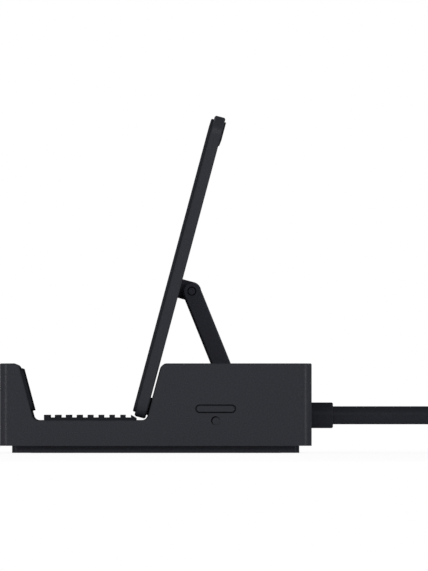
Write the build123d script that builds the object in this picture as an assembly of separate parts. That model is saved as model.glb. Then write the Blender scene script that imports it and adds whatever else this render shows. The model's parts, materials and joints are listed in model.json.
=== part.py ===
from build123d import *
import math
import os

# Dock for a handheld games console. Millimetres, +Z up, front at -Y, width along X.
# The origin is on the floor, under the middle of the body.

# body
body_width = 142.0
body_depth = 89.0
body_bottom = 2.05
body_top = 25.58
corner_radius = 5.0
wall = 2.0
edge_break = 0.25

# slot for the console, open at both ends, its walls leaning apart
lean = 15.0
slot_floor = 9.32
slot_front = -34.88
slot_rear = -2.53
slot_floor_round = 1.6
slot_top_round = 1.7

# folding support
shaft_y = 20.12
shaft_z = 22.61
arm_reach = 25.73
arm_lean = 22.0
arm_half = 2.6
arm_width = 40.0
arm_edge_break = 0.4
shaft_radius = 1.25
pin_radius = 1.0
pin_recess_radius = 1.3
pin_recess_depth = 2.4
knuckle_half = 2.7
knuckle_width = 29.0
screw_hole_radius = 0.9
panel_gap = 3.52
panel_thick = 3.14
panel_width = 141.4
panel_length = 88.82
panel_foot = -38.95
panel_edge_break = 0.35
pad_thick = 0.8
pad_inset = 1.17
strip_thick = 0.45
strip_width = 5.15

# rubber in the slot
mat_base = 0.78
mat_rib_height = 0.775
mat_rib_width = 1.57
mat_rib_pitch = 3.113
mat_ribs = 9
mat_rear = -5.43
mat_bevel_run = 1.52
mat_bevel_drop = 0.9
rubber_length = 132.0
lip_pad_thick = 0.8
lip_pad_length = 12.43

# underside
plate_thick = 2.0
ring_width = 134.96
ring_depth = 81.96
ring_band = 5.0

# button on the +X side
button_y = 17.09
button_z = 12.62
button_length = 11.03
button_height = 1.88
button_gap = 0.29

# sockets on the rear, all standing on the main board
board_top = 7.2
board_thick = 1.6
socket_face = 44.0
network_x = -3.0
video_x = 19.0
power_x = 36.0
usb_x = (-22.0, -38.0, -54.0)

# lead
lead_x = 50.0
lead_z = 10.76
lead_radius = 2.58
lead_bend = 24.0
boot_radius = 3.68
boot_length = 6.24
coil_floor = 0.7
coil_x = lead_x - 30.0
coil_y = 122.0
coil_inner = 21.9
coil_outer = 32.7
tie_angle = 40.0
plug_angle = 160.0

slope = math.tan(math.radians(lean))
rear_face = body_depth / 2
side_face = body_width / 2
pin_y = shaft_y - arm_reach * math.sin(math.radians(arm_lean))
pin_z = shaft_z + arm_reach * math.cos(math.radians(arm_lean))

# Plane of the back panel: origin on the pin, x along the width, y up the panel, z out of its front.
panel_frame = Plane(
    origin=(0, pin_y, pin_z),
    x_dir=(1, 0, 0),
    z_dir=(0, -math.cos(math.radians(lean)), math.sin(math.radians(lean))),
)


def box(x0, x1, y0, y1, z0, z1):
    return Pos((x0 + x1) / 2, (y0 + y1) / 2, (z0 + z1) / 2) * Box(x1 - x0, y1 - y0, z1 - z0)


def slab(width, depth, radius, z0, z1):
    # rounded rectangle in plan, standing from z0 to z1
    return Pos(0, 0, z0) * extrude(RectangleRounded(width, depth, radius), z1 - z0)


def rod_x(x0, x1, y, z, radius):
    # round bar along X
    return Pos((x0 + x1) / 2, y, z) * Rot(0, 90, 0) * Cylinder(radius, x1 - x0)


def rod_y(x, y0, y1, z, radius):
    # round bar along Y
    return Pos(x, (y0 + y1) / 2, z) * Rot(90, 0, 0) * Cylinder(radius, y1 - y0)


def rod_z(x, y, z0, z1, radius):
    # upright round bar
    return Pos(x, y, (z0 + z1) / 2) * Cylinder(radius, z1 - z0)


def pill_x(x0, x1, y, z, length, height):
    # bar along X whose section is a pill lying along Y
    section = SlotOverall(length, height)
    return Plane.YZ.offset(x0) * Pos(y, z) * extrude(section, x1 - x0)


def pill_y(x, y0, y1, z, length, height):
    # bar along Y whose section is a pill lying along X
    section = SlotOverall(length, height)
    return Plane.XZ.offset(-y1) * Pos(x, z) * extrude(section, y1 - y0)


def front_wall(z):
    return slot_front - (z - slot_floor) * slope


def rear_wall(z):
    return slot_rear + (z - slot_floor) * slope


# two screws hold the base plate at the rear, two hooks at the front
screw_spots = [(-60.0, 27.0), (60.0, 27.0)]
hook_spots = (-45.0, 45.0)
window_spots = [(x, y) for x in (-42.0, 0.0, 42.0) for y in (-38.3, 38.3)]
board_spots = [(-55.0, 9.0), (55.0, 9.0)]


def outer_body():
    half = body_depth / 2
    outline = Polyline(
        (-half, body_bottom),
        (half, body_bottom),
        (half, body_top),
        (rear_wall(body_top), body_top),
        (slot_rear, slot_floor),
        (slot_front, slot_floor),
        (front_wall(body_top), body_top),
        (-half, body_top),
        close=True,
    )
    section = make_face(outline)
    inside = [v for v in section.vertices() if abs(v.X) < half - 1 and v.Y < slot_floor + 1]
    section = fillet(inside, slot_floor_round)
    inside = [v for v in section.vertices() if abs(v.X) < half - 1 and v.Y > body_top - 0.01]
    section = fillet(inside, slot_top_round)
    solid = extrude(Plane.YZ * section, body_width / 2, both=True)
    return solid & slab(body_width, body_depth, corner_radius, body_bottom, body_top)


def sharp_edges(solid):
    # the edges of the outline, without the seams where a round runs out flat
    picked = []
    for edge in solid.edges():
        size = edge.bounding_box().size
        middle = edge @ 0.5
        if size.X > body_width / 2 and abs(middle.Y) < rear_face - 0.1:
            continue
        if size.Z > 5 and size.X < 0.01 and size.Y < 0.01:
            continue
        if middle.Z < body_bottom + 0.01:
            continue
        picked.append(edge)
    return picked


def cavity():
    # the hollow of the shell, with the arm's channel kept walled off from it
    half = body_depth / 2 - wall
    inset = wall / math.cos(math.radians(lean))
    low = slot_floor - wall
    roof = body_top - wall
    lip_roof = 21.0
    outline = Polyline(
        (-half, body_bottom - 1),
        (half, body_bottom - 1),
        (half, roof),
        (rear_wall(roof) + inset, roof),
        (rear_wall(low) + inset, low),
        (front_wall(low) - inset, low),
        (front_wall(lip_roof) - inset, lip_roof),
        (-half, lip_roof),
        close=True,
    )
    solid = extrude(Plane.YZ * make_face(outline), body_width / 2 - wall, both=True)
    solid &= slab(body_width - 2 * wall, body_depth - 2 * wall, 3.0, 0, body_top)
    solid -= box(-25, 25, -1, 25, 17.7, body_top)
    for x, y in screw_spots:
        solid -= box(x - 2.75, x + 2.75, y - 2.75, y + 2.75, body_bottom + plate_thick, body_top)
    return solid


def housing():
    solid = outer_body()
    solid = chamfer(sharp_edges(solid), edge_break)
    solid -= cavity()
    # channel that the arm folds into, open to the slot
    solid -= box(-20.4, 20.4, -6, 23.1, 19.5, body_top + 1)
    solid -= rod_x(-25.1, 25.1, shaft_y, shaft_z, shaft_radius + 0.01)
    # button and lead
    solid -= pill_x(
        68,
        72,
        button_y,
        button_z,
        button_length + 2 * button_gap,
        button_height + 2 * button_gap,
    )
    solid -= rod_y(lead_x, 41, 46, lead_z, 3.02)
    # sockets
    solid -= box(network_x - 8.15, network_x + 8.15, 41, 46, board_top - 0.2, 20.75)
    solid -= box(video_x - 7.75, video_x + 7.75, 41, 46, board_top - 0.15, 13.55)
    for x in usb_x:
        solid -= box(x - 6.95, x + 6.95, 41, 46, board_top - 0.15, 13.55)
    solid -= pill_y(power_x, 41, 46, board_top + 1.65, 9.3, 3.6)
    for x, y in screw_spots:
        solid -= rod_z(x, y, 0, 12, 1.1)
    for x in hook_spots:
        solid -= box(x - 5.2, x + 5.2, -43.6, -42, body_bottom + 0.4, body_bottom + 2)
    return solid


def base_plate():
    solid = slab(
        body_width - 2 * wall - 0.4,
        body_depth - 2 * wall - 0.4,
        2.8,
        body_bottom,
        body_bottom + plate_thick,
    )
    for x, y in screw_spots:
        solid -= rod_z(x, y, 0, 10, 1.3)
        solid -= Pos(x, y, body_bottom + 0.55) * Cone(2.3, 1.2, 1.1)
    for x, y in window_spots:
        solid -= box(x - 10, x + 10, y - 1.5, y + 1.5, 0, 10)
    for x, y in board_spots:
        solid += box(x - 2.2, x + 2.2, y - 2.2, y + 2.2, body_bottom + plate_thick, board_top - board_thick)
        solid -= rod_z(x, y, body_bottom + 0.8, 10, 0.9)
    for x in hook_spots:
        solid += box(x - 5, x + 5, -43.4, -42, body_bottom + 0.6, body_bottom + 1.8)
    return solid


def base_screws():
    screws = []
    for x, y in screw_spots:
        screw = Pos(x, y, body_bottom + 0.6) * Cone(2.15, 1.08, 1.0)
        screw += rod_z(x, y, body_bottom + 1.1, 11.5, 1.08)
        screws.append(screw)
    return Compound(children=screws)


def light_ring():
    solid = slab(ring_width, ring_depth, 3.0, 0.04, body_bottom)
    return solid - slab(ring_width - 2 * ring_band, ring_depth - 2 * ring_band, 1.5, 0, 3)


def foot_pad():
    width = ring_width - 2 * ring_band - 0.6
    depth = ring_depth - 2 * ring_band - 0.6
    return slab(width, depth, 1.3, 0, body_bottom)


def light_board():
    low = body_bottom + plate_thick
    solid = box(-67, 67, -40.2, 40.2, low, low + 0.8)
    return solid - box(-63.5, 63.5, -36.3, 36.3, low - 1, low + 2)


def light_emitters():
    low = body_bottom + plate_thick
    emitters = []
    for x, y in window_spots:
        for step in (-6.5, 0, 6.5):
            emitters.append(box(x + step - 1, x + step + 1, y - 1, y + 1, low - 0.9, low))
    return Compound(children=emitters)


def main_board():
    solid = box(-64, 64, 4, 40.5, board_top - board_thick, board_top)
    for x, y in screw_spots:
        solid -= box(x - 3.2, x + 3.2, y - 3.2, y + 3.2, 0, 20)
    # slots for the board's screws, open to its front edge
    for x, y in board_spots:
        solid -= box(x - 1.1, x + 1.1, 0, y + 1.1, 0, 20)
    return solid


def board_screws():
    screws = []
    for x, y in board_spots:
        screw = Pos(x, y, board_top) * extrude(RegularPolygon(1.9, 6), 1.1)
        screw += rod_z(x, y, body_bottom + 1.2, board_top, 0.88)
        screws.append(screw)
    return Compound(children=screws)


def network_port():
    x = network_x
    solid = box(x - 7.95, x + 7.95, socket_face - 16, socket_face, board_top, 20.55)
    solid -= box(x - 5.9, x + 5.9, socket_face - 12, 46, 11.4, 18.4)
    solid -= box(x - 3.1, x + 3.1, socket_face - 12, 46, 9.4, 12)
    solid -= box(x - 1.7, x + 1.7, socket_face - 12, 46, 8.2, 12)
    return solid


def video_port():
    x = video_x
    low = board_top
    solid = box(x - 7.6, x + 7.6, socket_face - 11.5, socket_face, low, low + 6.2)
    outline = Polyline(
        (x - 7.0, low + 5.4),
        (x + 7.0, low + 5.4),
        (x + 7.0, low + 2.2),
        (x + 5.5, low + 0.8),
        (x - 5.5, low + 0.8),
        (x - 7.0, low + 2.2),
        close=True,
    )
    mouth = extrude(Plane.XZ.offset(-socket_face) * make_face(outline), 9.0)
    return solid - mouth


def video_insulator():
    x = video_x
    low = board_top
    return box(x - 5.5, x + 5.5, socket_face - 9, socket_face - 1.5, low + 2.7, low + 4.0)


def usb_port(x):
    low = board_top
    solid = box(x - 6.8, x + 6.8, socket_face - 13.5, socket_face, low, low + 6.2)
    return solid - box(x - 6.25, x + 6.25, socket_face - 11, 46, low + 0.5, low + 5.65)


def usb_insulator(x):
    low = board_top
    return box(x - 5.6, x + 5.6, socket_face - 11, socket_face - 1.2, low + 3.2, low + 5.0)


def power_port():
    x = power_x
    middle = board_top + 1.65
    solid = pill_y(x, socket_face - 7.5, socket_face, middle, 9.0, 3.3)
    return solid - pill_y(x, socket_face - 6.5, socket_face + 1, middle, 8.4, 2.7)


def power_insulator():
    x = power_x
    middle = board_top + 1.65
    return box(x - 3.35, x + 3.35, socket_face - 6.5, socket_face - 0.8, middle - 0.35, middle + 0.35)


def button_switch():
    y = button_y
    solid = box(58.5, 62.5, y - 3.1, y + 3.1, board_top, button_z + 2.3)
    return solid - box(60.6, 63, y - 1.3, y + 1.3, button_z - 1.3, button_z + 1.3)


def switch_stem():
    return box(61.5, 64.4, button_y - 1.2, button_y + 1.2, button_z - 1.2, button_z + 1.2)


def light_button():
    solid = pill_x(67.6, side_face, button_y, button_z, button_length, button_height)
    rim = [e for e in solid.edges() if (e @ 0.5).X > side_face - 0.01]
    solid = chamfer(rim, 0.18)
    solid += pill_x(67.6, 68.8, button_y, button_z, button_length + 2.4, button_height + 2.4)
    return solid + box(64.4, 67.6, button_y - 1.6, button_y + 1.6, button_z - 0.9, button_z + 0.9)


def slot_mat():
    front = mat_rear - (mat_ribs - 1) * mat_rib_pitch - mat_rib_width
    half = rubber_length / 2
    solid = box(-half, half, front, mat_rear, slot_floor, slot_floor + mat_base)
    top = slot_floor + mat_base + mat_rib_height
    for rib in range(mat_ribs):
        y = front + rib * mat_rib_pitch
        solid += box(-half, half, y, y + mat_rib_width, slot_floor, top)
    # the last rib falls towards the rear, so that the panel's foot passes over it
    bevel = Polyline(
        (mat_rear - mat_bevel_run, top),
        (mat_rear, top - mat_bevel_drop),
        (mat_rear, top),
        close=True,
    )
    return solid - extrude(Plane.YZ * make_face(bevel), half, both=True)


def lip_pad():
    # lies on the lip's slope: the plane's x runs along the width, y up the slope
    middle = 18.01
    face = Plane(
        origin=(0, front_wall(middle), middle),
        x_dir=(1, 0, 0),
        z_dir=(0, math.cos(math.radians(lean)), math.sin(math.radians(lean))),
    )
    return face * extrude(RectangleRounded(rubber_length, lip_pad_length, 2.0), lip_pad_thick)


def arm_shaft():
    return rod_x(-24.5, 24.5, shaft_y, shaft_z, shaft_radius)


def support_arm():
    middle_y = (shaft_y + pin_y) / 2
    middle_z = (shaft_z + pin_z) / 2
    section = Rot(0, 0, 90 + arm_lean) * SlotCenterToCenter(arm_reach, 2 * arm_half)
    bar = extrude(Plane.YZ * Pos(middle_y, middle_z) * section, arm_width / 2, both=True)
    rims = [e for e in bar.edges() if abs((e @ 0.5).X) > arm_width / 2 - 0.01]
    bar = chamfer(rims, arm_edge_break)
    # gap between the two ears for the panel's knuckle
    along = Rot(arm_lean, 0, 0)
    half = knuckle_width / 2 + 0.4
    bar -= Pos(0, pin_y, pin_z) * along * box(-half, half, -6, 6, -3.2, 6)
    bar -= rod_x(-30, 30, shaft_y, shaft_z, shaft_radius + 0.04)
    bar -= rod_x(-30, 30, pin_y, pin_z, pin_radius + 0.01)
    # the pin's ends show inside a narrow ring-shaped recess
    face = arm_width / 2
    bar -= rod_x(face - pin_recess_depth, face, pin_y, pin_z, pin_recess_radius)
    bar -= rod_x(-face, pin_recess_depth - face, pin_y, pin_z, pin_recess_radius)
    return bar


def panel_pin():
    half = arm_width / 2 - 0.05
    return rod_x(-half, half, pin_y, pin_z, pin_radius)


def pin_washers():
    washers = []
    for side in (-1, 1):
        middle = side * (knuckle_width / 2 + 0.2)
        washer = rod_x(middle - 0.15, middle + 0.15, pin_y, pin_z, 2.3)
        washer -= rod_x(middle - 1, middle + 1, pin_y, pin_z, pin_radius + 0.03)
        washers.append(washer)
    return Compound(children=washers)


def in_panel(x0, x1, s0, s1, n0, n1):
    # block in the panel's own directions: across, up the panel, out of its front
    return panel_frame * box(x0, x1, s0, s1, n0, n1)


def panel_screw_spots():
    return (-9.0, 9.0)


def back_panel():
    sheet = RectangleRounded(panel_width, panel_length, corner_radius)
    solid = panel_frame * Pos(0, panel_foot + panel_length / 2, panel_gap) * extrude(sheet, panel_thick)
    rims = [e for e in solid.edges() if abs((e @ 0.5 - e @ 0).dot(panel_frame.z_dir)) < 0.01]
    solid = chamfer(rims, panel_edge_break)
    solid -= in_panel(-13.1, 13.1, -2.3, 2.3, panel_gap - 1, panel_gap + 1.25)
    for x in panel_screw_spots():
        solid -= panel_frame * rod_z(x, 0, panel_gap, panel_gap + panel_thick + 1, screw_hole_radius)
    return solid


def panel_pad():
    width = panel_width - 2 * pad_inset
    length = panel_length - 2 * pad_inset
    sheet = RectangleRounded(width, length, corner_radius - pad_inset)
    low = panel_gap + panel_thick
    solid = panel_frame * Pos(0, panel_foot + panel_length / 2, low) * extrude(sheet, pad_thick)
    rims = [
        e
        for e in solid.edges()
        if panel_frame.to_local_coords(e @ 0.5).Z > low + pad_thick - 0.01
    ]
    return chamfer(rims, 0.25)


def rear_strip(start):
    return in_panel(-64, 64, start, start + strip_width, panel_gap - strip_thick, panel_gap)


def hinge_knuckle():
    section = Circle(knuckle_half) + Pos(0, panel_gap / 2) * Rectangle(2 * knuckle_half, panel_gap)
    # section plane: x up the panel, y out of its front
    plane = Plane(
        origin=(-knuckle_width / 2, pin_y, pin_z),
        x_dir=panel_frame.y_dir,
        z_dir=(1, 0, 0),
    )
    if plane.y_dir.dot(panel_frame.z_dir) < 0:
        section = mirror(section, Plane.XZ)
    solid = extrude(plane * section, knuckle_width)
    solid += in_panel(-13, 13, -2.2, 2.2, panel_gap, panel_gap + 1.2)
    solid -= rod_x(-30, 30, pin_y, pin_z, pin_radius + 0.04)
    for x in panel_screw_spots():
        solid -= panel_frame * rod_z(x, 0, 1.5, 10, screw_hole_radius)
    return solid


def knuckle_screws():
    # screws without heads, under the panel's pad
    top = panel_gap + panel_thick - 0.1
    screws = []
    for x in panel_screw_spots():
        screws.append(panel_frame * rod_z(x, 0, 1.7, top, screw_hole_radius - 0.02))
    return Compound(children=screws)


def strain_relief():
    solid = rod_y(lead_x, rear_face, rear_face + boot_length, lead_z, boot_radius)
    rim = [e for e in solid.edges() if (e @ 0.5).Y > rear_face + boot_length - 0.01]
    solid = chamfer([e for e in rim if e.bounding_box().size.Y < 0.01], 0.3)
    solid += rod_y(lead_x, rear_face - wall, rear_face, lead_z, 3.0)
    # square flange behind the wall
    low = rear_face - wall - 1.2
    return solid + box(lead_x - 3.9, lead_x + 3.9, low, rear_face - wall, lead_z - 3.9, lead_z + 3.9)


def lead_route():
    start = rear_face + boot_length
    return [
        (lead_x, start, lead_z),
        (lead_x, 82.0, lead_z),
        (lead_x, 117.5, coil_floor + lead_radius),
        (lead_x, coil_y - 0.1, coil_floor + lead_radius),
    ]


def lead_tube():
    route = lead_route()
    line = FilletPolyline(*route, radius=lead_bend)
    section = Plane(origin=route[0], z_dir=(0, 1, 0)) * Circle(lead_radius)
    return sweep(section, path=line)


def lead_coil():
    low = coil_floor
    ring = rod_z(coil_x, coil_y, low, low + 2 * lead_radius, coil_outer)
    ring -= rod_z(coil_x, coil_y, 0, 20, coil_inner)
    # the lead comes in along the outside of the first turn, so its run is left free
    return ring - box(lead_x - 2.75, lead_x + 8, 70, coil_y, 0, 20)


def coil_tie():
    low = coil_floor
    outer = rod_z(coil_x, coil_y, 0.05, low + 2 * lead_radius + 0.65, coil_outer + 0.65)
    outer -= rod_z(coil_x, coil_y, -1, 20, coil_inner - 0.65)
    inner = rod_z(coil_x, coil_y, low, low + 2 * lead_radius, coil_outer)
    inner -= rod_z(coil_x, coil_y, -1, 20, coil_inner)
    sector = Pos(coil_x, coil_y) * Rot(0, 0, tie_angle) * box(0, 60, -4, 4, -1, 20)
    return (outer - inner) & sector


plug_frame = Plane(
    origin=(
        coil_x + 27.0 * math.cos(math.radians(plug_angle)),
        coil_y + 27.0 * math.sin(math.radians(plug_angle)),
        coil_floor + 2 * lead_radius + 3.05,
    ),
    x_dir=(0, 0, 1),
    z_dir=(-math.sin(math.radians(plug_angle)), math.cos(math.radians(plug_angle)), 0),
)


def plug_grip():
    # the plug lies on the coil; its frame's z runs out of the lead's end
    solid = plug_frame * extrude(RectangleRounded(6.0, 11.0, 1.6), 19.0)
    return solid


def plug_shell():
    solid = plug_frame * Pos(0, 0, 19.0) * extrude(Rot(0, 0, 90) * SlotOverall(8.3, 2.5), 6.6)
    return solid - plug_frame * Pos(0, 0, 19.6) * extrude(Rot(0, 0, 90) * SlotOverall(7.7, 1.9), 8)


parts = {
    "housing": housing(),
    "base_plate": base_plate(),
    "base_screws": base_screws(),
    "light_ring": light_ring(),
    "foot_pad": foot_pad(),
    "light_board": light_board(),
    "light_emitters": light_emitters(),
    "main_board": main_board(),
    "board_screws": board_screws(),
    "network_port": network_port(),
    "video_port": video_port(),
    "video_insulator": video_insulator(),
    "power_port": power_port(),
    "power_insulator": power_insulator(),
    "button_switch": button_switch(),
    "switch_stem": switch_stem(),
    "light_button": light_button(),
    "slot_mat": slot_mat(),
    "lip_pad": lip_pad(),
    "arm_shaft": arm_shaft(),
    "support_arm": support_arm(),
    "panel_pin": panel_pin(),
    "pin_washers": pin_washers(),
    "back_panel": back_panel(),
    "panel_pad": panel_pad(),
    "lower_strip": rear_strip(panel_foot + pad_inset),
    "upper_strip": rear_strip(panel_foot + panel_length - pad_inset - strip_width),
    "hinge_knuckle": hinge_knuckle(),
    "knuckle_screws": knuckle_screws(),
    "strain_relief": strain_relief(),
    "lead_tube": lead_tube(),
    "lead_coil": lead_coil(),
    "coil_tie": coil_tie(),
    "plug_grip": plug_grip(),
    "plug_shell": plug_shell(),
}
for number, x in enumerate(usb_x, 1):
    parts[f"usb_port_{number}"] = usb_port(x)
    parts[f"usb_insulator_{number}"] = usb_insulator(x)

os.makedirs("parts", exist_ok=True)
for name, shape in parts.items():
    export_step(shape, f"parts/{name}.step")

tube_length = FilletPolyline(*lead_route(), radius=lead_bend).length
tube_volume = math.pi * lead_radius**2 * tube_length
print("tube length", round(tube_length, 2))
print("tube volume over section times length", parts["lead_tube"].volume / tube_volume)
print("pin", round(pin_y, 2), round(pin_z, 2))
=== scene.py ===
import json
import math

import bpy
import numpy as np
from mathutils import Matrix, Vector


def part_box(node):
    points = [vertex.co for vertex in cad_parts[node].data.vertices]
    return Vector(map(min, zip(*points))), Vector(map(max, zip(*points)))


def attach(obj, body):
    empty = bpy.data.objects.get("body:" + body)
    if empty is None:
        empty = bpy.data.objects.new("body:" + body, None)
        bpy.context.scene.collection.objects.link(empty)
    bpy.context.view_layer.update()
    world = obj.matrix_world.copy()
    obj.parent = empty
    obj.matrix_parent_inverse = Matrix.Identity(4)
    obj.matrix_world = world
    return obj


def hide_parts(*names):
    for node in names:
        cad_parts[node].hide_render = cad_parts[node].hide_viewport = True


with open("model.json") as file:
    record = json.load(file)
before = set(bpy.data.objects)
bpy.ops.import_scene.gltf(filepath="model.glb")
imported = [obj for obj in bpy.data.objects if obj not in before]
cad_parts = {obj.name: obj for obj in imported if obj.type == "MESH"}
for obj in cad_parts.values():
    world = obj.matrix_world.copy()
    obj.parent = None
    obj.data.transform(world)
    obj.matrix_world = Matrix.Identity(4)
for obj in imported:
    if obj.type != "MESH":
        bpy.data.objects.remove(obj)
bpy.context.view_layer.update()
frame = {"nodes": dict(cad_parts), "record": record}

nodes = frame["nodes"]
mounts = {mount["name"]: mount["pos_m"] for mount in frame["record"]["mounts"]}
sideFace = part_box("housing")[1][0]  # the +X side, which carries the button
scene = bpy.context.scene
scene.view_settings.view_transform = "Standard"
print("frame loaded:", len(nodes), "nodes")


# camera: a side view from +X through a very long lens, nearly level
view = {
    "middle": (0.01661, 0.04777),  # depth and height at the middle of the picture
    "eye": (-0.010, 0.0135),  # where the camera stands: level with the slot, between lip and panel
    "tall": 0.16278,  # height of the picture at the side face
    "lens": 1200.0,
    "sensor": 36.0,
    "clip": (0.5, 50.0),
}


def makeCamera():
    data = bpy.data.cameras.new("sideCamera")
    data.lens = view["lens"]
    data.sensor_width = view["sensor"]
    data.clip_start, data.clip_end = view["clip"]
    camera = bpy.data.objects.new("sideCamera", data)
    away = view["tall"] * view["lens"] / view["sensor"]  # distance that fits the picture's height
    camera.location = (sideFace + away, *view["eye"])
    camera.rotation_mode = "QUATERNION"
    aim = Vector((sideFace, *view["middle"])) - camera.location
    camera.rotation_quaternion = aim.to_track_quat("-Z", "Y")
    scene.collection.objects.link(camera)
    scene.camera = camera


makeCamera()
print("camera placed")


# shader sums: a Wire is a socket that takes part in Python expressions
class Wire:
    def __init__(self, tree, socket=None):
        self.tree = tree
        self.socket = socket

    def make(self, kind, settings=None, sockets=None, out=0):
        node = self.tree.nodes.new(kind)
        for key, value in (settings or {}).items():
            setattr(node, key, value)
        for key, value in (sockets or {}).items():
            if isinstance(value, Wire):
                self.tree.links.new(value.socket, node.inputs[key])
            else:
                node.inputs[key].default_value = value
        return Wire(self.tree, node.outputs[out] if node.outputs else None)

    def sum(self, operation, first, second):
        return self.make("ShaderNodeMath", {"operation": operation}, {0: first, 1: second})

    def __add__(self, other):
        return self.sum("ADD", self, other)

    def __radd__(self, other):
        return self.sum("ADD", other, self)

    def __sub__(self, other):
        return self.sum("SUBTRACT", self, other)

    def __rsub__(self, other):
        return self.sum("SUBTRACT", other, self)

    def __mul__(self, other):
        return self.sum("MULTIPLY", self, other)

    def __rmul__(self, other):
        return self.sum("MULTIPLY", other, self)

    def __gt__(self, other):
        return self.sum("GREATER_THAN", self, other)


def linear(red, green, blue):
    # a screen colour of 0 to 255 as the light values that a shader takes
    tone = np.array([red, green, blue]) / 255
    light = np.where(tone <= 0.04045, tone / 12.92, ((tone + 0.055) / 1.055) ** 2.4)
    return (*light.tolist(), 1.0)


def shaded(tone, share):
    return (*(share * value for value in tone[:3]), 1.0)


def noise(start, place, scale, detail=2.0, rough=0.5):
    return start.make(
        "ShaderNodeTexNoise",
        None,
        {"Vector": place, "Scale": scale, "Detail": detail, "Roughness": rough},
    )


def waves(start, place, axis, sockets):
    return start.make(
        "ShaderNodeTexWave",
        {"wave_type": "BANDS", "bands_direction": axis},
        {"Vector": place, **sockets},
        out=1,
    )


def mixColour(start, factor, first, second):
    return start.make(
        "ShaderNodeMix",
        {"data_type": "RGBA"},
        {0: factor, 6: first, 7: second},
        out=2,
    )


def stretched(start, place, scale):
    return start.make("ShaderNodeMapping", None, {"Vector": place, "Scale": scale})


def surface(name):
    material = bpy.data.materials.new(name)
    material.use_nodes = True
    material.node_tree.nodes.clear()
    start = Wire(material.node_tree)
    place = start.make("ShaderNodeTexCoord", None, None, out=3)
    return material, start, place


gleamRough = 0.22  # of the soft reflection that some finishes mix in


def finishSurface(material, start, colour, rough, height, depth, fixed, gleam=0.0):
    # height is a 0 to 1 field and depth its size in metres; gleam is an even share of soft reflection
    bump = start.make(
        "ShaderNodeBump",
        None,
        {"Height": height, "Strength": 1.0, "Distance": depth},
    )
    shader = start.make(
        "ShaderNodeBsdfPrincipled",
        None,
        {"Base Color": colour, "Roughness": rough, "Normal": bump, **fixed},
    )
    if gleam:
        gloss = start.make(
            "ShaderNodeBsdfAnisotropic",
            None,
            {"Color": (1, 1, 1, 1), "Roughness": gleamRough, "Normal": bump},
        )
        shader = start.make("ShaderNodeMixShader", None, {0: gleam, 1: shader, 2: gloss})
    start.make("ShaderNodeOutputMaterial", None, {"Surface": shader})
    return material


# moulded, coated and rubber finishes: tone on the screen, scale of the grain, its depth in metres
finishes = {
    "shellPlastic": {"tone": (47, 48, 53), "rough": 0.52, "grain": 3000, "depth": 3e-5, "gleam": 0.004},
    "armCoat": {"tone": (54, 55, 62), "rough": 0.5, "grain": 2600, "depth": 2.6e-5, "gleam": 0.002},
    "bandPlastic": {"tone": (44, 45, 50), "rough": 0.42, "grain": 2200, "depth": 1.2e-5, "gleam": 0.002},
    "padRubber": {"tone": (42, 43, 48), "rough": 0.78, "grain": 3400, "depth": 3.2e-5, "gleam": 0.001},
    "leadJacket": {"tone": (38, 39, 44), "rough": 0.46, "grain": 3000, "depth": 1.6e-5, "gleam": 0.001},
    "socketPlastic": {"tone": (26, 26, 28), "rough": 0.5, "grain": 2500, "depth": 1.2e-5, "gleam": 0.006},
    # near-black, painted shade for the gap round the side mark's dot
    "sealRubber": {"tone": (9, 9, 10), "rough": 0.8, "grain": 5200, "depth": 4e-6, "gleam": 0.0005},
}
moulding = {
    "drift": 38.0,  # scale of the slow drift
    "speck": 0.32,  # scale of the coarse specks, against the grain's
    "spread": 0.24,  # how far the colour strays from its tone, to either side
    "contrast": 2.6,  # of the painted shade in the grain's pits, in the colour
    "colour": (0.3, 0.7),  # shares of drift and of the painted pit shade
    "rough": (0.08, 0.06),  # how far drift and specks change it
    "height": (0.7, 0.3),  # shares of grain and specks
    "specular": 0.0,  # gleam takes its place
}


def mouldedSurface(name, facts):
    # colour drifts slowly over the piece, and shade is painted into the pits of a fine grain, darker
    # where the bump is low;
    # the grain and coarser specks make the bump, and drift and specks the roughness
    material, start, place = surface(name)
    drift = noise(start, place, moulding["drift"], 3.0)
    grain = noise(start, place, facts["grain"], 2.0, 0.6)
    speck = noise(start, place, facts["grain"] * moulding["speck"], 1.0)
    tone = linear(*facts["tone"])
    dark = shaded(tone, 1 - moulding["spread"])
    pale = shaded(tone, 1 + moulding["spread"])
    # painted shade: the colour darkens where the grain's bump is low, as shade in its pits
    paintedPitShade = grain * moulding["contrast"] - (moulding["contrast"] - 1) / 2
    byDrift, byGrain = moulding["colour"]
    colour = mixColour(start, drift * byDrift + paintedPitShade * byGrain, dark, pale)
    byDrift, bySpeck = moulding["rough"]
    rough = facts["rough"] - (byDrift + bySpeck) / 2 + drift * byDrift + speck * bySpeck
    byGrain, bySpeck = moulding["height"]
    height = grain * byGrain + speck * bySpeck
    fixed = {"Specular IOR Level": moulding["specular"]}
    return finishSurface(material, start, colour, rough, height, facts["depth"], fixed, facts["gleam"])


# metals: rough is the lowest, streak the noise's scale along each axis
metals = {
    "platedSteel": {"tone": (176, 177, 180), "rough": 0.24, "streak": (260, 2600, 2600), "depth": 4e-6},
    "goldContact": {"tone": (214, 172, 92), "rough": 0.18, "streak": (900, 900, 900), "depth": 2e-6},
}
plating = {
    "cloud": 160.0,  # scale of the slow clouds
    "shade": 0.82,  # darkest colour, as a share of the tone
    "colour": (0.6, 0.4),  # shares of streaks and clouds
    "rough": (0.12, 0.06),  # how far streaks and clouds raise it
}


def metalSurface(name, facts):
    # streaks from a noise whose scale differs along the axes, and slow clouds over them
    material, start, place = surface(name)
    streak = noise(start, stretched(start, place, facts["streak"]), 1.0, 3.0)
    cloud = noise(start, place, plating["cloud"])
    tone = linear(*facts["tone"])
    byStreak, byCloud = plating["colour"]
    colour = mixColour(start, streak * byStreak + cloud * byCloud, shaded(tone, plating["shade"]), tone)
    byStreak, byCloud = plating["rough"]
    rough = facts["rough"] + streak * byStreak + cloud * byCloud
    return finishSurface(material, start, colour, rough, streak, facts["depth"], {"Metallic": 1.0})


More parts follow.
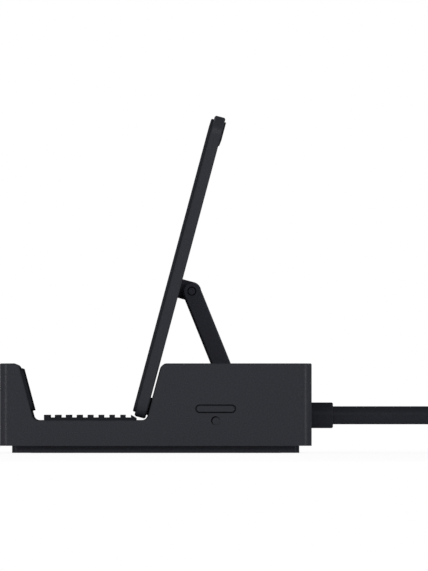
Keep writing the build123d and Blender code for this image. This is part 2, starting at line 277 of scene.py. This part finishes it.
board = {
    "lanes": {"Scale": 420.0, "Distortion": 3.0, "Detail": 1.0, "Detail Scale": 0.4},
    "laneLevel": 0.5,  # copper lies where the lanes are above this
    "patches": 120.0,
    "patchLevel": 0.52,  # and the patches above this
    "mask": (10, 44, 34),
    "overCopper": (18, 68, 50),
    "rough": (0.34, 0.1),  # lowest, and how far the dust raises it
    "dust": 900.0,
    "depth": 2e-5,
    "specular": 0.5,
}


def boardSurface(name):
    # solder mask over copper: fine lanes from a wave, a little paler where copper lies under
    material, start, place = surface(name)
    lanes = waves(start, place, "X", board["lanes"])
    patches = noise(start, place, board["patches"], 1.0) > board["patchLevel"]
    copper = (lanes > board["laneLevel"]) * patches
    colour = mixColour(start, copper, linear(*board["mask"]), linear(*board["overCopper"]))
    low, raised = board["rough"]
    rough = low + noise(start, place, board["dust"]) * raised
    fixed = {"Specular IOR Level": board["specular"]}
    return finishSurface(material, start, colour, rough, copper, board["depth"], fixed)


resin = {
    "cloud": 1500.0,
    "tones": ((226, 214, 150), (240, 232, 196)),
    "rough": (0.2, 0.15),  # lowest, and how far the clouds raise it
    "depth": 5e-6,
    "coat": 0.4,
}


def lensSurface(name):
    # clear resin over a yellow phosphor
    material, start, place = surface(name)
    cloud = noise(start, place, resin["cloud"])
    deep, pale = resin["tones"]
    colour = mixColour(start, cloud, linear(*deep), linear(*pale))
    low, raised = resin["rough"]
    rough = low + cloud * raised
    fixed = {"Coat Weight": resin["coat"]}
    return finishSurface(material, start, colour, rough, cloud, resin["depth"], fixed)


strap = {
    "threads": {"Scale": 700.0, "Distortion": 0.6, "Detail": 1.0},
    "shares": {"X": 0.34, "Y": 0.33, "Z": 0.33},
    "fuzz": 4200.0,
    "tones": ((20, 20, 22), (46, 46, 50)),
    "rough": (0.82, 0.12),  # lowest, and how far the fuzz raises it
    "height": (0.8, 0.2),  # shares of weave and fuzz
    "depth": 6e-5,
    "specular": 0.1,
}


def wovenSurface(name):
    # waves along the three axes cross as the threads of a narrow strap, whichever way it runs
    material, start, place = surface(name)
    shares = strap["shares"].items()
    threads = [waves(start, place, axis, strap["threads"]) * share for axis, share in shares]
    weave = threads[0] + threads[1] + threads[2]
    fuzz = noise(start, place, strap["fuzz"], 3.0)
    deep, pale = strap["tones"]
    colour = mixColour(start, weave, linear(*deep), linear(*pale))
    low, raised = strap["rough"]
    rough = low + fuzz * raised
    byWeave, byFuzz = strap["height"]
    height = weave * byWeave + fuzz * byFuzz
    fixed = {"Specular IOR Level": strap["specular"]}
    return finishSurface(material, start, colour, rough, height, strap["depth"], fixed)


materials = {name: mouldedSurface(name, facts) for name, facts in finishes.items()}
materials.update({name: metalSurface(name, facts) for name, facts in metals.items()})
materials["circuitBoard"] = boardSurface("circuitBoard")
materials["lightLens"] = lensSurface("lightLens")
materials["wovenTie"] = wovenSurface("wovenTie")
print("materials made:", len(materials))


# which finish each CAD node takes
nodeFinish = {
    "shellPlastic": ("housing", "base_plate", "light_button", "back_panel"),
    "armCoat": ("support_arm", "hinge_knuckle", "panel_pin", "pin_washers"),
    "bandPlastic": ("light_ring",),
    "padRubber": ("foot_pad", "slot_mat", "lip_pad", "panel_pad", "upper_strip", "lower_strip"),
    "leadJacket": ("strain_relief", "lead_tube", "lead_coil", "plug_grip"),
    "socketPlastic": (
        "network_port",
        "button_switch",
        "switch_stem",
        "usb_insulator_1",
        "usb_insulator_2",
        "usb_insulator_3",
        "video_insulator",
        "power_insulator",
    ),
    "platedSteel": (
        "base_screws",
        "board_screws",
        "knuckle_screws",
        "arm_shaft",
        "video_port",
        "power_port",
        "usb_port_1",
        "usb_port_2",
        "usb_port_3",
        "plug_shell",
    ),
    "circuitBoard": ("main_board", "light_board"),
    "lightLens": ("light_emitters",),
    "wovenTie": ("coil_tie",),
}
for finish, names in nodeFinish.items():
    for name in names:
        mesh = nodes[name].data
        mesh.materials.clear()
        mesh.materials.append(materials[finish])
print("nodes dressed")


def addPiece(name, points, faces, finish, body):
    mesh = bpy.data.meshes.new(name)
    mesh.from_pydata(points.reshape(-1, 3).tolist(), [], faces)
    mesh.materials.append(materials[finish])
    piece = bpy.data.objects.new(name, mesh)
    scene.collection.objects.link(piece)
    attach(piece, body)


def gridFaces(rows, columns):
    # quads of a grid whose columns close on themselves
    row, column = np.meshgrid(np.arange(rows - 1), np.arange(columns), indexing="ij")
    onward = (column + 1) % columns
    near = row * columns
    far = near + columns
    return np.stack([near + column, near + onward, far + onward, far + column], axis=-1).reshape(-1, 4)


def evenRow(count, pitch):
    return [pitch * (step - (count - 1) / 2) for step in range(count)]


# spring contacts in the sockets: paths in depth and height, offsets across from a socket's middle, metres
contacts = {
    "networkContacts": {
        "sockets": ("network_socket",),
        "offsets": evenRow(8, 0.00102),
        "path": (
            (0.0432, 0.0181),
            (0.0420, 0.0179),
            (0.0372, 0.0158),
            (0.0362, 0.0157),
            (0.0350, 0.0161),
        ),
        "width": 0.00046,
        "thick": 0.0003,
    },
    "dataContacts": {
        "sockets": ("data_socket_1", "data_socket_2", "data_socket_3"),
        "offsets": (-0.0035, -0.001, 0.001, 0.0035),
        "path": ((0.0335, 0.01034), (0.0385, 0.01022), (0.0405, 0.01006), (0.0420, 0.01030)),
        "width": 0.001,
        "thick": 0.0002,
    },
    "videoContacts": {
        "sockets": ("video_socket",),
        "offsets": evenRow(10, 0.001),
        "path": ((0.0355, 0.01125), (0.0400, 0.01125), (0.0420, 0.01121)),
        "width": 0.00045,
        "thick": 0.0001,
    },
    "powerContacts": {
        "sockets": ("power_socket",),
        "offsets": evenRow(12, 0.0005),
        "path": ((0.0380, 0.00923), (0.0415, 0.00923), (0.0428, 0.00921)),
        "width": 0.00026,
        "thick": 0.00006,
    },
}


def carriedStrips(path, across, width, thick):
    # a rectangle carried along a path in the plane of depth and height, once for each place across
    path = np.array(path)
    run = np.gradient(path, axis=0)
    run /= np.linalg.norm(run, axis=1, keepdims=True)
    flat = np.stack([run[:, 1], -run[:, 0]], axis=1) * thick / 2
    side = np.array([-1.0, 1.0, 1.0, -1.0]) * width / 2
    lift = np.array([-1.0, -1.0, 1.0, 1.0])
    ring = path[:, None, :] + lift[None, :, None] * flat[:, None, :]
    points = np.empty((len(across), len(path), 4, 3))
    points[..., 0] = np.array(across)[:, None, None] + side
    points[..., 1:] = ring
    strip = len(path) * 4
    ends = np.array([[3, 2, 1, 0], [strip - 4, strip - 3, strip - 2, strip - 1]])
    one = np.concatenate([gridFaces(len(path), 4), ends])
    faces = (one[None] + strip * np.arange(len(across))[:, None, None]).reshape(-1, 4)
    return points, faces.tolist()


for name, facts in contacts.items():
    across = [mounts[socket][0] + offset for socket in facts["sockets"] for offset in facts["offsets"]]
    points, faces = carriedStrips(facts["path"], across, facts["width"], facts["thick"])
    addPiece(name, points, faces, "goldContact", "base")
print("contacts set")


# round mark under the button, on the side face: a dot that sits low and to the rear in a near-black ring
# of painted shade
# a profile holds radius, height, and how much higher the rim stands on its low rear side
marks = {
    # near-black ring: painted shade that stands in for the shadow in the gap round the dot
    "markSeal": {
        "middle": (0.01702, 0.00926),
        "profile": (
            (0.00124, -0.0001, 0.0),
            (0.00124, 0.00002, 0.0),
            (0.0012, 0.00003, 0.0),
            (0.0007, 0.00003, 0.0),
        ),
        "finish": "sealRubber",
        "slot": "socket",
    },
    "markDot": {
        "middle": (0.01720, 0.00911),
        "profile": (
            (0.00106, -0.0001, 0.0),
            (0.00106, 0.00004, 0.00014),
            (0.00104, 0.00006, 0.00016),
            (0.0008, 0.00006, 0.0),
            (0.0005, 0.00006, 0.0),
        ),
        "finish": "shellPlastic",
        "slot": "shell",
    },
}
markSteps = 48  # points round a mark
lowRear = -math.pi / 4  # angle of the low rear side, from the rear


def turnedAboutX(middle, profile):
    # profile of radius and height turned about the X axis, closed by a flat cap at both ends;
    # the rim's extra height swells as half of 1 + cosine of the angle from the low rear side
    radius, rise, rim = np.array(profile).T
    angle = np.linspace(0, 2 * math.pi, markSteps, endpoint=False)
    swell = (1 + np.cos(angle - lowRear)) / 2
    points = np.empty((len(radius), markSteps, 3))
    points[..., 0] = sideFace + rise[:, None] + rim[:, None] * swell
    points[..., 1] = middle[0] + radius[:, None] * np.cos(angle)
    points[..., 2] = middle[1] + radius[:, None] * np.sin(angle)
    ring = np.arange(markSteps)
    caps = [ring[::-1].tolist(), (ring + (len(radius) - 1) * markSteps).tolist()]
    return points, gridFaces(len(radius), markSteps).tolist() + caps


for name, facts in marks.items():
    points, faces = turnedAboutX(facts["middle"], facts["profile"])
    addPiece(name, points, faces, facts["finish"], "base")
print("mark set")


# lead: out of the boot and down to the floor, then the turns of the coil, as one smooth spline
lead = {
    "x": 0.050,
    "height": 0.01076,  # of its middle, where it leaves the boot
    "floor": 0.00328,  # of its middle, where it lies
    "thick": 0.00516,
    "length": 0.314,
    "exit": 0.05074,
    "level": (0.070, 0.085),  # depths of the points that hold it level
    "landed": (0.108, 0.1219),  # depths of the points on the floor
    "coil": (0.020, 0.122),
    "outer": 0.030,
    "inner": 0.0247,
    "firstTurn": 12.0,  # turns are in degrees
    "turnStep": 16.0,
    "inward": (60.0, 360.0),  # where it moves from the outer to the inner radius
    "climb": (432.0, 512.0),  # where it climbs onto the first turn
    "lean": 0.0005,  # how far it leans in on the climb
    "lastTurn": 508.0,
    "plugTurn": 520.0,
    "plugRadius": 0.027,
    "plugHeight": 0.00891,
    "plugRun": 0.003,  # straight run into the plug
    "stepsAlong": 8,  # of the surface, between two points of the route
    "stepsRound": 12,  # of its round section
}


def leadPoints():
    # straight out and down to the floor, then a flat spiral that moves in by one strand, then a climb
    # onto the first turn, as 3 s squared less 2 s cubed, and into the back of the plug
    boot = (lead["x"], lead["exit"], lead["height"])
    level = [(lead["x"], depth, lead["height"]) for depth in lead["level"]]
    landed = [(lead["x"], depth, lead["floor"]) for depth in lead["landed"]]
    turn = np.arange(lead["firstTurn"], lead["lastTurn"], lead["turnStep"])
    climb = np.interp(turn, lead["climb"], (0.0, 1.0))
    rise = climb * climb * (3.0 - 2.0 * climb)
    radius = np.interp(turn, lead["inward"], (lead["outer"], lead["inner"]))
    radius += (lead["plugRadius"] - lead["inner"]) * climb**3 - lead["lean"] * np.sin(math.pi * climb)
    height = lead["floor"] + (lead["plugHeight"] - lead["floor"]) * rise
    middleX, middleY = lead["coil"]
    angle = np.radians(turn)
    coil = np.stack([middleX + radius * np.cos(angle), middleY + radius * np.sin(angle), height], axis=1)
    plug = math.radians(lead["plugTurn"])
    out = np.array([math.cos(plug), math.sin(plug), 0.0])
    along = np.array([-math.sin(plug), math.cos(plug), 0.0])
    end = np.array([middleX, middleY, lead["plugHeight"]]) + lead["plugRadius"] * out
    return np.concatenate([[boot], level, landed, coil, [end - lead["plugRun"] * along, end]])


def makeLead():
    points = leadPoints()
    curve = bpy.data.curves.new("lead_cord", "CURVE")
    curve.dimensions = "3D"
    spline = curve.splines.new("NURBS")
    spline.points.add(len(points) - 1)
    spline.points.foreach_set("co", np.column_stack([points, np.ones(len(points))]).ravel())
    spline.order_u = 3
    spline.use_endpoint_u = True
    spline.resolution_u = lead["stepsAlong"]
    curve.bevel_depth = lead["thick"] / 2
    curve.bevel_resolution = lead["stepsRound"]
    curve.use_fill_caps = True
    cord = bpy.data.objects.new("lead_cord", curve)
    scene.collection.objects.link(cord)
    curve.materials.append(materials["leadJacket"])
    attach(cord, "base")
    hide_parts("lead_tube", "lead_coil")
    runs = float(np.linalg.norm(np.diff(points, axis=0), axis=1).sum())
    print("lead laid, runs add up to", round(runs, 4))


makeLead()


# room: pale floor, white behind it, soft lamps
room = {
    "floorHalf": 0.9,
    "floorLevel": -0.00003,  # a hair under the foot, so that the two faces don't lie in one plane
    "floorTone": (240, 240, 241),
    "floorShade": 0.97,  # darkest tone of the floor's slow drift
    "floorDrift": 6.0,
    "floorGlow": 0.9,  # share of plain white that the camera sees
    "floorBounce": 0.48,  # share of it that lights the piece from below
    "fill": 0.08,  # light from all round
    "aim": (0.0, 0.0, 0.03),  # where the lamps point
    "lamps": (
        {"name": "sideLamp", "place": (1.5, 0.05, 0.6), "size": (3.0, 0.7), "power": 20.0},
        {"name": "farFrontLamp", "place": (-1.0, -0.95, 1.0), "size": (0.9, 0.7), "power": 17.0},
        {"name": "farBackLamp", "place": (-1.0, 0.95, 1.0), "size": (0.9, 0.7), "power": 17.0},
        {"name": "frontLamp", "place": (0.28, -1.5, 0.12), "size": (0.22, 0.24), "power": 3.7},
        {"name": "backLamp", "place": (0.28, 1.5, 0.12), "size": (0.22, 0.24), "power": 3.2},
    ),
}


def seenRays(tree, low, high):
    # high for what the camera sees, straight, in a reflection or through glass, and low for the rest
    rays = tree.nodes.new("ShaderNodeLightPath")
    kinds = ("Is Camera Ray", "Is Glossy Ray", "Is Transmission Ray")
    straight, mirrored, through = (Wire(tree, rays.outputs[kind]) for kind in kinds)
    seen = straight.sum("MAXIMUM", straight.sum("MAXIMUM", straight, mirrored), through)
    return seen * (high - low) + low


def makeFloor():
    half = room["floorHalf"]
    level = room["floorLevel"]
    corners = [(-half, -half, level), (half, -half, level), (half, half, level), (-half, half, level)]
    mesh = bpy.data.meshes.new("floor")
    mesh.from_pydata(corners, [], [(0, 1, 2, 3)])
    floor = bpy.data.objects.new("floor", mesh)
    scene.collection.objects.link(floor)
    material, start, place = surface("floorPaint")
    drift = noise(start, place, room["floorDrift"])
    tone = linear(*room["floorTone"])
    colour = mixColour(start, drift, tone, shaded(tone, room["floorShade"]))
    paint = start.make("ShaderNodeBsdfDiffuse", None, {"Color": colour})
    glow = start.make("ShaderNodeEmission", None, {"Color": (1, 1, 1, 1), "Strength": 1.0})
    share = seenRays(material.node_tree, room["floorBounce"], room["floorGlow"])
    mixed = start.make("ShaderNodeMixShader", None, {0: share, 1: paint, 2: glow})
    start.make("ShaderNodeOutputMaterial", None, {"Surface": mixed})
    mesh.materials.append(material)


def makeWorld():
    world = bpy.data.worlds.new("studio")
    scene.world = world
    world.use_nodes = True
    world.node_tree.nodes.clear()
    start = Wire(world.node_tree)
    strength = seenRays(world.node_tree, room["fill"], 1.0)
    back = start.make("ShaderNodeBackground", None, {"Color": (1, 1, 1, 1), "Strength": strength})
    start.make("ShaderNodeOutputWorld", None, {"Surface": back})


def makeLamps():
    for facts in room["lamps"]:
        lamp = bpy.data.lights.new(facts["name"], "AREA")
        lamp.shape = "RECTANGLE"
        lamp.size, lamp.size_y = facts["size"]
        lamp.energy = facts["power"]
        holder = bpy.data.objects.new(facts["name"], lamp)
        holder.location = facts["place"]
        holder.rotation_mode = "QUATERNION"
        toward = Vector(room["aim"]) - Vector(facts["place"])
        holder.rotation_quaternion = toward.to_track_quat("-Z", "Y")
        scene.collection.objects.link(holder)


makeFloor()
makeWorld()
makeLamps()
print("room lit")

bpy.context.view_layer.update()
